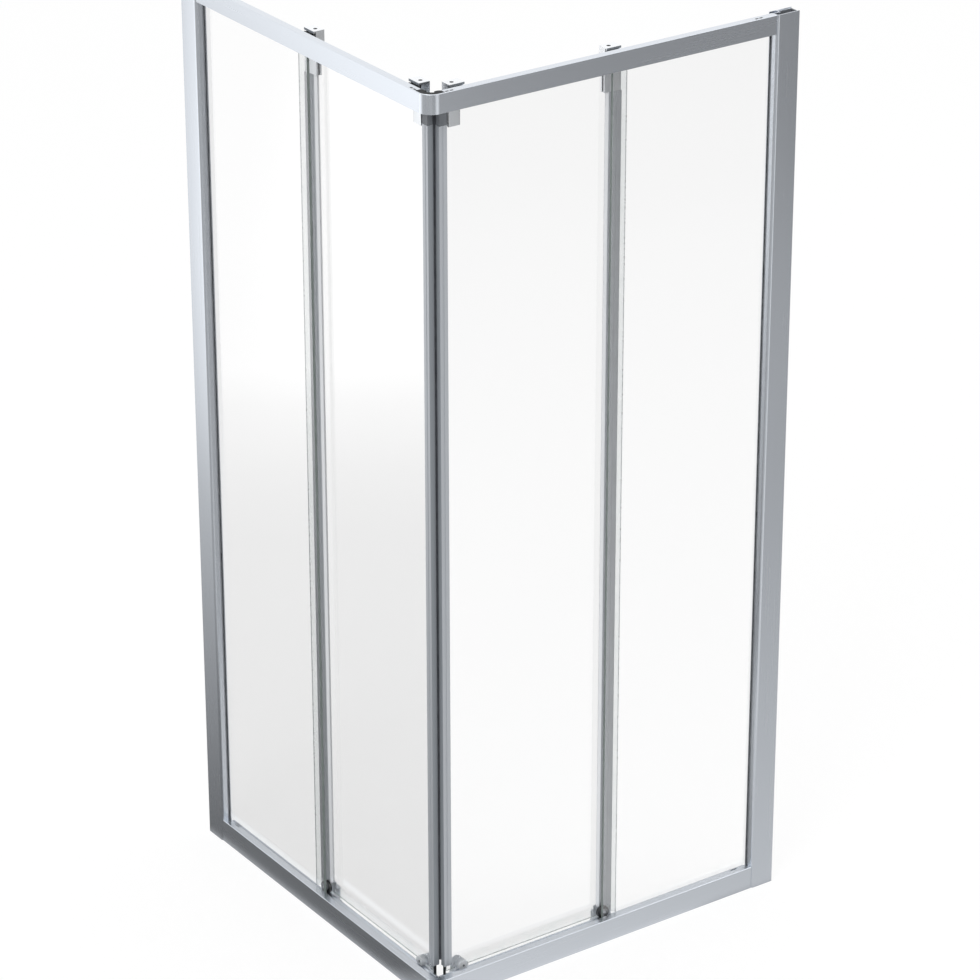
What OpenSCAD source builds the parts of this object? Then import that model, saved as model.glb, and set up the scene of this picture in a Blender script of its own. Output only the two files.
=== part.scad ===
// Corner-entry shower enclosure: two glazed sides meet at a corner.
// Each side has a fixed pane by the wall and a glass door that slides behind it.
// Each side is drawn once: X runs from the outer corner towards the wall,
// Y runs inwards from the outer face, Z is up. The other side is its mirror image.

/* [Overall] */
// Width of each side, from the outer corner to the wall
side_w = 850; // [800:10:1000]
// Height of the frame
height = 1900; // [1800:10:2000]

/* [Rails] */
// Height of the top rail's face
top_rail_h = 38.5; // [36:0.5:44]
// Height of the bottom rail's face
bottom_rail_h = 50; // [46:1:60]
// Wall thickness of the rails and wall posts
wall = 1.8; // [1.4:0.1:2]
// Setback of the rail faces behind the post faces
rail_setback = 2; // [1:0.5:3]
// Depth of the flange on top of the top rail
flange_w = 15; // [12:0.5:17]
// Radius of the top rail's upper front edge
rail_edge_r = 1.2; // [0.5:0.1:1.6]
// Radius of the bottom rail's upper front edge
ledge_edge_r = 1.5; // [0.5:0.1:2]
// Height of the door track above the foot of the top rail
track_rise = 17.5; // [16:0.5:20]
// Height of the door track in the bottom rail
sill_track_z = 41.5; // [38:0.5:43]
// Width of the raised ridge that the wheels run on
ridge_w = 2; // [1.5:0.1:3]
// Height of that ridge
ridge_h = 1; // [0.6:0.1:1.4]
// Outer radius of the corner covers
corner_r = 27.5; // [25:0.5:31]

/* [Wall posts] */
// Width of the wall post's face
post_w = 53; // [46:1:60]
// Depth of the wall post
post_d = 27; // [26:0.5:28]
// Radius of the post's front edge
post_edge_r = 6; // [3:0.5:8]
// Thickness of the channel screwed to the wall
channel_t = 2; // [1.5:0.1:3]
// Length of the channel's flanges inside the post
channel_reach = 28; // [15:1:30]
// Radius of the wall screw holes
wall_hole_r = 2.75; // [2.25:0.25:3.5]
// Distance between the outer pair of wall screws
wall_pair_outer = 1600; // [1400:50:1650]
// Distance between the inner pair of wall screws
wall_pair_inner = 600; // [400:50:900]

/* [Glass] */
// Thickness of the panes
glass_t = 6; // [5:0.5:6]
// Depth of the fixed pane's outer face
fixed_d = 17.5; // [16.5:0.5:18]
// Distance from the wall to the fixed pane's free edge
fixed_w = 424; // [410:2:450]
// Depth of the glazing pocket in the rails
pocket_w = 8.1; // [7.6:0.1:8.6]
// Height of the clear sill bead above the floor
bead_top = 69; // [60:1:80]

/* [Door] */
// Depth of the door stiles' outer face
door_d = 35; // [35:0.25:37]
// Thickness of the door, from stile face to stile back
door_t = 15; // [14:0.5:18]
// Distance from the outer corner to the closing stile
door_start = 50; // [50:0.5:54]
// Length by which the closed door reaches past the fixed pane's free edge
overlap = 31.5; // [28:0.5:36]
// Face width of the closing stile
closing_w = 17.5; // [16:0.5:18]
// Face width of the trailing stile
trailing_w = 27.5; // [24:0.5:32]
// Height of the door glass's lower edge
door_low = 42; // [41:0.5:46]
// Height of the lower end of the closing stile
closing_low = 56; // [50:1:66]
// Distance from the top rail's foot down to the closing stile's upper end
closing_drop = 38; // [24:1:42]
// Height of the upper edge of the drip seal
drip_seal_top = 64.5; // [56:0.5:70]
// Distance that each door travels
door_travel = 295; // [240:5:305]

/* [Carriages] */
// Length of the carriages
carriage_l = 33.5; // [32:0.5:38]
// Depth of the carriage's top plate
carriage_w = 19; // [17:0.5:24]
// Distance from the outer corner to the leading carriage
lead_start = 69.5; // [69:0.5:80]
// Distance from the trailing stile's wall side back to the trailing carriage
trail_inset = 37.5; // [37.5:0.5:42]
// Length by which the carriages' top plates reach over the wheels
carriage_reach = 4.5; // [3:0.5:6]
// Outer radius of the top wheels
wheel_r = 8; // [7:0.5:8]
// Distance between the two wheels of a carriage
wheel_pitch = 17; // [16.5:0.5:19]
// Depth of the wheels' grooves
groove_h = 1; // [0.6:0.1:1.4]
// Thickness of all wheels
wheel_w = 6.4; // [5:0.2:6.6]
// Radius of the wheel axles
axle_r = 2.5; // [2:0.25:3]
// Height of the leading glass clamp below the top rail's foot
lead_drop = 43.5; // [38:0.5:50]
// Height of the trailing glass clamp below the top rail's foot
trail_drop = 49.5; // [44:0.5:56]

/* [Runners] */
// Outer radius of the open wheel at the trailing runner
trail_runner_r = 13; // [11:0.5:14]
// Outer radius of the hooded wheel at the leading runner
lead_runner_r = 9; // [8:0.5:10]
// Distance from the outer corner to the leading runner
lead_runner_start = 77; // [72:0.5:80]
// Length of the leading runner
lead_runner_l = 26; // [24:1:30]
// Depth of the leading runner behind the door
lead_runner_reach = 8; // [4:0.5:10]
// Depth of the trailing runner behind the door
trail_runner_reach = 12; // [8:0.5:14]
// Height of the runners' lower ends
runner_low = 12; // [10:1:30]
// Thickness of the hood round the leading runner's wheel
hood_t = 1.5; // [1:0.25:2]

/* [Clearances] */
// Gap between seated pieces
seat = 0.1; // [0.05:0.05:0.15]
// Gap between a wheel's bore and its axle
run = 0.08; // [0.05:0.01:0.1]
// Gap beside a moving face
free = 0.3; // [0.2:0.05:0.4]

/* [Hidden] */
$fn = 64;

// Small amount by which a cut runs past the face it opens
past = 1;
silver = "#c4c8cc";
clear = [0.86, 0.93, 0.93, 0.35];
soft_clear = [0.93, 0.95, 0.95, 0.6];
black = "#1d1f21";
steel = "#9da1a5";
smoke = [0.55, 0.58, 0.6, 0.8];

// Rails
rail_foot = height - top_rail_h;
fixed_edge = side_w - fixed_w;
pocket_front = fixed_d - seat;
pocket_back = pocket_front + pocket_w;
rail_back = door_d - free - wall / 4;
rail_start = rail_setback + corner_r;
rail_end = side_w - post_w;
shelf_top = rail_foot + track_rise;
port_d = (rail_setback + pocket_front) / 2;
top_port_z = rail_foot + track_rise / 2;
sill_port_z = bottom_rail_h / 2;
port_r = 3.6;
screw_r = 1.9;
screw_head_r = 3.1;
screw_head_t = 2.2;
screw_l = 25;
corner_head_at = -8.5;
sill_floor = 30;

// Fixed glazing
fixed_low = sill_floor + 3;
head_room = 3.2;
fixed_high = shelf_top - wall - head_room;
jamb_depth = 15;
jamb_front = fixed_d - 2.5;
glass_seat = 3.4;

// Wheel line, just in front of the door
wheel_gap = 1.2;
wheel_mid = door_d - wheel_gap - wheel_w / 2;
top_root_r = wheel_r - groove_h;
top_axle_z = shelf_top + ridge_h + top_root_r + seat;
trail_axle_z = sill_track_z + ridge_h + trail_runner_r - groove_h + seat;
lead_axle_z = sill_track_z + ridge_h + lead_runner_r - groove_h + seat;
axle_head_r = axle_r + 1;

// Door
door_end = fixed_edge + overlap;
trail_start = door_end - trail_inset;
door_back = door_d + door_t;
door_glass_d = door_d + (door_t - glass_t) / 2;
slot_front = door_glass_d - seat;
slot_back = door_glass_d + glass_t + seat;
door_high = rail_foot + 4;
closing_end = door_start + closing_w;
closing_high = rail_foot - closing_drop;
cap_high = rail_foot + 2;
closing_back = door_back - 2 * free;
slant = 2.5;
nose = 5.3;
nose_wall = 1.5;
trailing_start = door_end - trailing_w;
stile_web = 2.3;
lead_clamp_start = lead_start + 1.5;
clamp_l = 27;
clamp_head = 8;
clamp_screws_along = [0.25, 0.7];
clamp_screw_up = 18;
lead_clamp_low = rail_foot - lead_drop;
trail_clamp_low = rail_foot - trail_drop;
clamp_high = door_high + clamp_head;
bracket_low = clamp_high + seat * 2;
bracket_t = 3.4;
plate_t = 1.8;
shelf_t = 2.5;
key_hole_s = 13.3;
key_hole_r = 4;
adjust_r = 2.5;
adjust_head_r = door_t / 2 - bracket_t - 2 * seat;
adjust_head_h = 5;
first_wheel_s = (carriage_l - wheel_pitch) / 2;
plate_front = door_d - carriage_reach;
lip_low = top_axle_z + wheel_r + free;
runner_high = 47;
trail_foot_high = 64;
trail_foot_in = 4;
hood_gap = 0.5;
hood_r = lead_runner_r + hood_gap + hood_t;
lead_hub_s = lead_runner_start + lead_runner_l / 2;
lead_runner_end = lead_runner_start + lead_runner_l;
trail_foot_start = trail_start + trail_foot_in;
trail_hub_s = trail_foot_start + 10;

// Buffers, each clipped into a pair of slots in the top rail's flange
flange_back = rail_setback + flange_w;
flange_start = rail_start + 13;
clip_slot_l = 7.5;
clip_bridge = 2.5;
clip_slot_front = rail_setback + 2.6;
clip_slot_back = clip_slot_front + 4.4;
buffer_l = 2 * clip_slot_l + clip_bridge;
near_buffer = flange_start + 2;
near_stop = lead_start + first_wheel_s - wheel_r - free;
far_stop = trail_start + first_wheel_s + wheel_pitch + wheel_r + door_travel + free;

// Puts one side's drawing on the right or the left of the corner
module right_side() translate([-side_w / 2, -side_w / 2, 0]) children();
module left_side() translate([-side_w / 2, -side_w / 2, 0]) mirror([1, -1, 0]) children();
module both_sides() {
    right_side() children();
    left_side() children();
}

// A rectangle from one corner to the other
module rect(x0, y0, x1, y1) translate([x0, y0]) square([x1 - x0, y1 - y0]);

// A block from one corner to the other
module block(low, high) translate(low) cube(high - low);

// A section drawn as depth and height, run along the side
module along(from, to) translate([from, 0, 0]) rotate([90, 0, 90]) linear_extrude(to - from) children();

// A section drawn from above, run upwards
module upright(from, to) translate([0, 0, from]) linear_extrude(to - from) children();

// A round bar along the side
module bar_along(s, d, z, r, l) translate([s, d, z]) rotate([0, 90, 0]) cylinder(r = r, h = l);

// A round bar pointing inwards
module bar_inwards(s, d, z, r, l) translate([s, d, z]) rotate([-90, 0, 0]) cylinder(r = r, h = l);

// Wall channel: a U section whose web is screwed to the wall, inside the post
module wall_channel() {
    color(silver) difference() {
        upright(0, height - channel_t) {
            rect(side_w - channel_t, wall + seat, side_w, post_d - wall - seat);
            rect(side_w - channel_reach, wall + seat, side_w, wall + seat + channel_t);
            rect(side_w - channel_reach, post_d - wall - seat - channel_t, side_w, post_d - wall - seat);
        }
        for (pair = [wall_pair_outer, wall_pair_inner])
            for (end = [-1, 1])
                bar_along(side_w - channel_t - past, post_d / 2, height / 2 + end * pair / 2,
                    wall_hole_r, channel_t + 2 * past);
    }
}

// Outline of the post, drawn in by an amount
module post_outline(inset) {
    rect(rail_end + post_edge_r, inset, side_w + inset, post_d - inset);
    rect(rail_end + inset, post_edge_r, side_w + inset, post_d - inset);
    translate([rail_end + post_edge_r, post_edge_r]) circle(r = post_edge_r - inset);
}

// Wall post: a box section with a rounded front edge, open to the wall,
// with a pocket for the fixed pane
module wall_post() {
    pocket_floor = rail_end + jamb_depth;
    color(silver) difference() {
        upright(0, height) {
            difference() {
                post_outline(0);
                post_outline(wall);
                rect(rail_end - past, jamb_front, rail_end + 2 * wall, post_d - wall);
            }
            rect(rail_end + wall / 2, jamb_front - wall, pocket_floor, jamb_front);
            rect(pocket_floor, jamb_front - wall, pocket_floor + wall, post_d - wall / 2);
        }
        for (z = [top_port_z, sill_port_z])
            bar_along(rail_end - past, port_d, z, screw_r + 2 * seat, wall + 2 * past);
    }
}

// Screw port inside a rail, held by a rib
module port(z, rib_low, rib_high) {
    difference() {
        union() {
            translate([port_d, z]) circle(r = port_r);
            rect(port_d - wall / 2, rib_low, port_d + wall / 2, rib_high);
        }
        translate([port_d, z]) circle(r = screw_r + seat / 2);
    }
}

// Top rail: a face with a flange on top, a box behind it, the pocket for
// the fixed pane and the shelf that the door wheels run on
module top_rail() {
    color(silver) difference() {
        union() {
            along(rail_start + seat, rail_end - seat) {
                rect(rail_setback, rail_foot, rail_setback + wall, height - rail_edge_r);
                rect(rail_setback + rail_edge_r, height - wall, flange_back, height);
                translate([rail_setback + rail_edge_r, height - rail_edge_r]) circle(r = rail_edge_r);
                rect(rail_setback, rail_foot, pocket_front, rail_foot + wall);
                rect(pocket_front - wall, rail_foot, pocket_front, shelf_top);
                rect(rail_setback, shelf_top - wall, pocket_front, shelf_top);
                port(top_port_z, rail_foot, shelf_top);
            }
            along(rail_back + free, rail_end - seat) {
                rect(pocket_front - wall, shelf_top - wall, rail_back, shelf_top);
                rect(pocket_back, rail_foot, pocket_back + wall, shelf_top);
                rect(rail_back - wall, shelf_top - 3 * wall, rail_back, shelf_top);
                rect(wheel_mid - ridge_w / 2, shelf_top, wheel_mid + ridge_w / 2, shelf_top + ridge_h);
            }
        }
        for (clip = [near_buffer, far_stop])
            for (s = [clip, clip + clip_slot_l + clip_bridge])
                block([s, clip_slot_front, height - wall - past],
                    [s + clip_slot_l, clip_slot_back, height + past]);
        block([rail_start, rail_setback + wall, height - wall - past],
            [flange_start, flange_back + past, height + past]);
    }
}

// Bottom rail: a box section whose top is the ledge seen in front of the
// glass, with a drain slot, the same pocket and a lower shelf for the runner wheels
module bottom_rail() {
    drain_l = 18;
    drain_w = 4.4;
    drain_h = 10;
    drain_s = rail_end - 2.5 * drain_l;
    color(silver) difference() {
        union() {
            along(rail_start + seat, rail_end - seat) {
                rect(rail_setback, 0, rail_setback + wall, bottom_rail_h - ledge_edge_r);
                translate([rail_setback + ledge_edge_r, bottom_rail_h - ledge_edge_r])
                    circle(r = ledge_edge_r);
                rect(rail_setback + ledge_edge_r, bottom_rail_h - wall, pocket_front, bottom_rail_h);
                rect(pocket_front - wall, 0, pocket_front, bottom_rail_h);
                rect(rail_setback, 0, pocket_front, wall);
                port(sill_port_z, 0, bottom_rail_h - wall / 2);
            }
            along(rail_back + free, rail_end - seat) {
                rect(pocket_front - wall, 0, rail_back, wall);
                rect(pocket_front - wall, sill_floor - wall, pocket_back + wall, sill_floor);
                rect(pocket_back, 0, pocket_back + wall, sill_track_z);
                rect(rail_back - wall, 0, rail_back, sill_track_z);
                rect(pocket_back, sill_track_z - wall, rail_back, sill_track_z);
                rect(wheel_mid - ridge_w / 2, sill_track_z, wheel_mid + ridge_w / 2, sill_track_z + ridge_h);
            }
        }
        block([drain_s, pocket_front - drain_w, bottom_rail_h - drain_h],
            [drain_s + drain_l, pocket_front + past, bottom_rail_h + past]);
    }
}

// Fixed pane
module fixed_glass() {
    color(clear) block([fixed_edge, fixed_d, fixed_low],
        [rail_end + jamb_depth - glass_seat, fixed_d + glass_t, fixed_high]);
}

// Black gasket in the post's pocket, round the edge of the fixed pane
module jamb_gasket() {
    lip = 0.5;
    color(black) upright(bottom_rail_h + seat, rail_foot - seat) difference() {
        rect(rail_end - lip, jamb_front + seat, rail_end + jamb_depth - seat, post_d - wall - seat);
        rect(rail_end - past, fixed_d - seat, rail_end + jamb_depth - glass_seat + seat,
            fixed_d + glass_t + seat);
    }
}

// Clear wedge that holds the pane's top edge in the top rail
module head_gasket() {
    roof = shelf_top - wall;
    color(soft_clear) along(fixed_edge, rail_end - 2 * free) {
        rect(fixed_d, fixed_high + seat, pocket_back - seat, roof - seat);
        rect(fixed_d + glass_t + seat, rail_foot + seat, pocket_back - seat, roof - seat);
    }
}

// Clear bead under and behind the pane's lower edge
module sill_bead() {
    lip = 1.3;
    color(soft_clear) along(fixed_edge, rail_end - 2 * free) {
        rect(fixed_d, sill_floor + seat, pocket_back - seat, fixed_low - seat);
        rect(fixed_d + glass_t + seat, sill_floor + seat, pocket_back - seat, sill_track_z);
        rect(fixed_d + glass_t + seat, sill_track_z - seat, fixed_d + glass_t + seat + lip, bead_top);
    }
}

// One rubber buffer: two legs in the flange slots, a block under the flange
// and a foot on the shelf, in the way of the carriage's outer wheel
module buffer(clip, foot_from, foot_to) {
    foot_h = 6;
    front = rail_setback + max(wall, 2 * rail_edge_r) + seat;
    foot_low = shelf_top + ridge_h + seat;
    under_flange = height - wall - seat;
    block([clip + seat, front, foot_low], [clip + buffer_l - seat, clip_slot_back + wall, under_flange]);
    for (s = [clip, clip + clip_slot_l + clip_bridge])
        block([s + seat, clip_slot_front + seat, under_flange - past],
            [s + clip_slot_l - seat, clip_slot_back - seat, height]);
    block([foot_from, front, foot_low], [foot_to, rail_back - free, foot_low + foot_h]);
}

module rail_buffer_pair() {
    color(black) {
        union() buffer(near_buffer, near_buffer + seat, near_stop);
        union() buffer(far_stop, far_stop, far_stop + buffer_l - seat);
    }
}

// Screws through the post into the ends of both rails
module rail_screw_pair() {
    color(steel) for (z = [top_port_z, sill_port_z]) union() {
        bar_along(rail_end + wall, port_d, z, screw_head_r, screw_head_t);
        bar_along(rail_end + wall - screw_l, port_d, z, screw_r, screw_l + screw_head_t / 2);
    }
}

// A quarter ring round the corner, drawn as radius and height
module round_corner() {
    translate([rail_start - side_w / 2, rail_start - side_w / 2, 0])
        rotate([0, 0, 180]) rotate_extrude(angle = 90) children();
}

// Curved cover that carries the top rails' face round the corner
module top_corner_cover() {
    color(silver) round_corner() {
        rect(corner_r - wall, rail_foot, corner_r, height - rail_edge_r);
        translate([corner_r - rail_edge_r, height - rail_edge_r]) circle(r = rail_edge_r);
        rect(corner_r - wall, height - wall, corner_r - rail_edge_r, height);
    }
}

// Curved cover of the bottom corner, closed on top like the ledge
module bottom_corner_cover() {
    ledge_in = rail_start - pocket_front;
    color(silver) round_corner() {
        rect(corner_r - wall, 0, corner_r, bottom_rail_h - ledge_edge_r);
        translate([corner_r - ledge_edge_r, bottom_rail_h - ledge_edge_r]) circle(r = ledge_edge_r);
        rect(ledge_in, bottom_rail_h - wall, corner_r - ledge_edge_r, bottom_rail_h);
    }
}

// Places of one corner screw on each side, at a height
module at_corner_screws(z) {
    both_sides() translate([rail_start, port_d, z]) rotate([0, 90, 0]) children();
}

// Black corner joint that both rails are screwed to
module corner_joint(low, high, port_z) {
    joint_in = 8;
    difference() {
        round_corner() rect(joint_in, low, corner_r - wall - seat, high);
        at_corner_screws(port_z) {
            translate([0, 0, corner_head_at - past])
                cylinder(r = screw_r + 2 * seat, h = 2 * past - corner_head_at);
            translate([0, 0, corner_head_at - corner_r]) cylinder(r = screw_head_r + 4 * seat, h = corner_r);
        }
    }
}

// The upper joint also has a rim behind the cover and a rounded lobe on the
// shelf of each rail, seen from above where the flange is cut away
module top_corner_joint() {
    rim_t = 10;
    rim_in = max(wall, 2 * rail_edge_r) + seat;
    lobe_r = 7.3;
    lobe_front = rail_setback + rim_in;
    lobe_s = flange_start - seat - lobe_r;
    color(black) {
        corner_joint(rail_foot + seat, shelf_top + 6, top_port_z);
        round_corner() rect(corner_r - rim_in - rim_t, shelf_top, corner_r - rim_in, height);
        both_sides() upright(shelf_top + seat, height) {
            rect(rail_start - seat, lobe_front, lobe_s, lobe_front + 2 * lobe_r);
            translate([lobe_s, lobe_front + lobe_r]) circle(r = lobe_r);
        }
    }
}

module bottom_corner_joint() {
    color(black) corner_joint(seat, bottom_rail_h - 2 * ledge_edge_r - seat, sill_port_z);
}

// Four screws that hold the rails to the corner joints
module corner_screws() {
    color(steel) for (z = [top_port_z, sill_port_z]) at_corner_screws(z) union() {
        translate([0, 0, corner_head_at]) cylinder(r = screw_r, h = screw_l);
        translate([0, 0, corner_head_at - screw_head_t]) cylinder(r = screw_head_r, h = screw_head_t);
    }
}

// Sliding pane
module door_glass() {
    edge_in = 7;
    color(clear) block([door_start + edge_in, door_glass_d, door_low],
        [door_end - stile_web - seat, door_glass_d + glass_t, door_high]);
}

// Closing stile: grips the glass, with a hollow nose, a groove in its face
// and a slanted back edge beside the magnetic strip
module closing_stile() {
    groove_at = 6;
    groove_w = 3;
    groove_d = 1;
    color(silver) upright(closing_low, closing_high) difference() {
        polygon([
            [door_start, door_d],
            [closing_end, door_d],
            [closing_end, closing_back],
            [door_start + slant, closing_back],
            [door_start, closing_back - slant],
        ]);
        rect(door_start + nose + nose_wall, slot_front, closing_end + past, slot_back);
        rect(door_start + groove_at, door_d - past, door_start + groove_at + groove_w, door_d + groove_d);
        rect(door_start + nose_wall, door_d + nose_wall, door_start + nose,
            closing_back - slant - nose_wall / 2);
    }
}

// Magnetic strip in the nook behind the closing stile. Its slanted face lies
// along the diagonal of the corner and meets the other door's strip there.
module magnet_strip() {
    gap = 1.5 * free;
    side = door_start - 1.5 * seat;
    front = closing_back - slant + seat / 2;
    back = closing_back + 2.5 * seat;
    flange = 11;
    flange_t = 1.5;
    tail_back = 7.75;
    tail = door_back + tail_back;
    color(black) upright(closing_low + 12, cap_high - 6) polygon([
        [front + gap, front],
        [side, front],
        [side + back - front, back],
        [door_start + flange, back],
        [door_start + flange, back + flange_t],
        [tail + gap, tail],
    ]);
}

// Trailing stile: grips the other edge of the glass, with a slanted lip
// towards the corner and two grooves in its face
module trailing_stile() {
    lip = 5.5;
    groove_w = 2.5;
    groove_d = 0.8;
    color(silver) upright(trail_foot_high + 2 * seat, trail_clamp_low - seat) difference() {
        union() {
            polygon([
                [trailing_start, door_d],
                [door_end, door_d],
                [door_end, slot_front],
                [trailing_start - lip, slot_front],
            ]);
            rect(trailing_start, slot_back, door_end, door_back);
            rect(door_end - stile_web, door_d, door_end, door_back);
        }
        for (s = [4, 14])
            rect(trailing_start + s, door_d - past, trailing_start + s + groove_w, door_d + groove_d);
    }
}

// Clear fin that closes the gap between the door and the fixed pane
module overlap_seal() {
    t = 0.9;
    base = door_end + seat;
    tip_d = fixed_d + glass_t + 2.5;
    color(soft_clear) upright(runner_high, rail_foot - 3) polygon([
        [base, door_d + 9],
        [base + t, door_d + 9],
        [base + t, door_d],
        [base + 5.5, tip_d + 2],
        [base + 5.5, tip_d],
        [base + 4.6, tip_d],
        [base + 4.4, tip_d + 2],
        [base, door_d - t],
    ]);
}

// Plugs in the hollow nose of the closing stile. The lower one is its foot,
// the upper one a cap that grips the glass between the stile and the rail.
module stile_plugs() {
    peg = 10;
    side = nose_wall + seat;
    foot_low = 34;
    foot_w = 3.2;
    foot_front = door_d + 0.8;
    foot_t = 5.2;
    module peg_block(low, high) block([door_start + side, door_d + side, low],
        [door_start + nose - seat, closing_back - slant - side, high]);
    color(black) {
        union() {
            peg_block(closing_low - seat, closing_low + peg);
            block([door_start + free, foot_front, foot_low],
                [door_start + free + foot_w, foot_front + foot_t, closing_low - seat]);
        }
        union() {
            peg_block(closing_high - peg, closing_high + seat);
            upright(closing_high + seat, cap_high) difference() {
                rect(door_start + free, door_d + free, closing_end, closing_back - slant - free);
                rect(door_start + nose + nose_wall, slot_front, closing_end + past, slot_back);
            }
        }
    }
}

// Clear drip seal pushed on the lower edge of the sliding pane
module bottom_seal() {
    t = 0.8;
    lip = 3;
    color(soft_clear) along(lead_runner_end + free, trail_foot_start - free) difference() {
        rect(slot_front - t, door_low - lip, slot_back + t, drip_seal_top);
        rect(slot_front, door_low - seat, slot_back, drip_seal_top + past);
    }
}

// One carriage: an angle plate that holds two wheels, with a turned-down
// front lip over them, closed at one end
module carriage(start) {
    end = start + carriage_l;
    difference() {
        union() {
            block([start, door_d, bracket_low], [end, door_d + bracket_t, height]);
            block([start, plate_front, height - plate_t], [end, door_d + carriage_w, height]);
            block([start, plate_front, lip_low], [end, plate_front + plate_t, height]);
            block([start, door_d, bracket_low], [start + shelf_t, door_d + carriage_w, height]);
            block([start, door_d, bracket_low], [end, door_back, bracket_low + shelf_t]);
        }
        translate([start + key_hole_s, door_d + door_t / 2, 0]) {
            translate([0, 0, bracket_low - past]) cylinder(r = adjust_r + 2 * seat, h = shelf_t + 2 * past);
            translate([0, 0, height - plate_t - past]) cylinder(r = key_hole_r, h = plate_t + 2 * past);
        }
        for (i = [0, 1])
            bar_inwards(start + first_wheel_s + i * wheel_pitch, door_d - past, top_axle_z,
                axle_r + seat / 2, bracket_t + 2 * past);
    }
}

module carriages() {
    color(silver) for (start = [lead_start, trail_start]) carriage(start);
}

// One clamp: a block that grips the top edge of the glass, with a rounded edge
module glass_clamp(from, to, slot_to, low, key_s) {
    edge_r = 4;
    difference() {
        upright(low, clamp_high) {
            rect(from, door_d, to - edge_r, door_back);
            rect(from, door_d + edge_r, to, door_back);
            translate([to - edge_r, door_d + edge_r]) circle(r = edge_r);
        }
        block([from - past, slot_front, low - past], [slot_to, slot_back, door_high + 2 * seat]);
        translate([key_s, door_d + door_t / 2, door_high + 1])
            cylinder(r = adjust_r + seat / 2, h = top_rail_h);
        for (part = clamp_screws_along)
            bar_inwards(from + part * clamp_l, slot_back - past, low + clamp_screw_up,
                adjust_r + seat / 2, door_t);
    }
}

module glass_clamps() {
    color(silver) {
        glass_clamp(lead_clamp_start, lead_clamp_start + clamp_l, closing_end + door_end,
            lead_clamp_low, lead_start + key_hole_s);
        glass_clamp(trail_start, door_end, door_end - stile_web, trail_clamp_low,
            trail_start + key_hole_s);
    }
}

// Grub screws that press the clamps onto the glass, from inside
module clamp_screws() {
    key_depth = 2.5;
    key_r = adjust_r * 0.55;
    module pair(from, low) for (part = clamp_screws_along) difference() {
        bar_inwards(from + part * clamp_l, slot_back + seat, low + clamp_screw_up, adjust_r,
            door_back - slot_back - 2 * seat);
        bar_inwards(from + part * clamp_l, door_back - key_depth, low + clamp_screw_up, key_r, door_t, $fn = 6);
    }
    color(steel) {
        pair(lead_clamp_start, lead_clamp_low);
        pair(trail_start, trail_clamp_low);
    }
}

// Height adjusting screws between carriage and clamp
module adjusting_screws() {
    key_depth = 2.5;
    color(steel) for (start = [lead_start, trail_start])
        translate([start + key_hole_s, door_d + door_t / 2, 0]) difference() {
            union() {
                translate([0, 0, door_high + 2])
                    cylinder(r = adjust_r, h = bracket_low + shelf_t - door_high - 1);
                translate([0, 0, bracket_low + shelf_t + seat])
                    cylinder(r = adjust_head_r, h = adjust_head_h);
            }
            translate([0, 0, bracket_low + shelf_t + adjust_head_h - key_depth])
                cylinder(r = adjust_r * 0.75, h = adjust_head_h, $fn = 6);
        }
}

// One wheel with a groove that runs on the rail's ridge
module wheel(s, z, r) {
    groove_w = ridge_w + 4 * free;
    translate([s, wheel_mid, z]) rotate([-90, 0, 0]) rotate_extrude() difference() {
        rect(axle_r + run, -wheel_w / 2, r, wheel_w / 2);
        polygon([
            [r - groove_h, -groove_w / 2],
            [r + groove_h, -groove_w / 2 - groove_h],
            [r + groove_h, groove_w / 2 + groove_h],
            [r - groove_h, groove_w / 2],
        ]);
    }
}

// One axle with a head in front of its wheel and a collar behind it
module axle(s, z, to) {
    front = wheel_mid - wheel_w / 2 - free;
    behind = wheel_mid + wheel_w / 2 + free;
    head_t = 0.8;
    bar_inwards(s, front - head_t, z, axle_head_r, head_t);
    bar_inwards(s, front - head_t / 2, z, axle_r, to - front + head_t / 2);
    bar_inwards(s, behind, z, axle_head_r, door_d - behind - seat / 2);
}

module wheel_axles() {
    nut_r = 4.6;
    nut_t = 3;
    plate_back = door_d + bracket_t;
    color(steel) {
        for (start = [lead_start, trail_start])
            for (i = [0, 1]) union() {
                s = start + first_wheel_s + i * wheel_pitch;
                axle(s, top_axle_z, plate_back + seat);
                bar_inwards(s, plate_back + seat / 2, top_axle_z, nut_r, nut_t, $fn = 6);
            }
        union() axle(trail_hub_s, trail_axle_z, slot_front - seat);
        union() {
            bar_inwards(lead_hub_s, wheel_mid - wheel_w / 2 - wheel_gap, lead_axle_z, axle_r,
                slot_front - seat - wheel_mid + wheel_w / 2 + wheel_gap);
            bar_inwards(lead_hub_s, wheel_mid + wheel_w / 2 + free, lead_axle_z, axle_head_r,
                door_d - wheel_mid - wheel_w / 2 - free - seat / 2);
        }
    }
}

// Slot in a runner for the lower edge of the glass
module glass_slot(from, to) {
    block([from, slot_front, door_low - seat], [to, slot_back, trail_foot_high + past]);
}

// Leading runner: a round-topped body that grips the glass and hangs behind
// the rail, with a small round hood over its wheel
module lead_runner() {
    hood_front = wheel_mid - wheel_w / 2 - wheel_gap;
    hood_face = 0.8;
    arch_r = lead_runner_l / 2;
    back = door_back + lead_runner_reach;
    color(smoke) difference() {
        union() {
            block([lead_runner_start, door_d, runner_low], [lead_runner_end, back, runner_high]);
            bar_inwards(lead_hub_s, door_d, runner_high, arch_r, back - door_d);
            intersection() {
                bar_inwards(lead_hub_s, hood_front, lead_axle_z, hood_r, slot_front - hood_front);
                block([0, 0, sill_track_z + ridge_h + 2 * free], [side_w, side_w, height]);
            }
        }
        bar_inwards(lead_hub_s, hood_front + hood_face, lead_axle_z, lead_runner_r + hood_gap,
            door_d - hood_front - hood_face);
        bar_inwards(lead_hub_s, hood_front - past, lead_axle_z, axle_r + seat / 2, door_t);
        glass_slot(0, side_w);
    }
}

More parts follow.
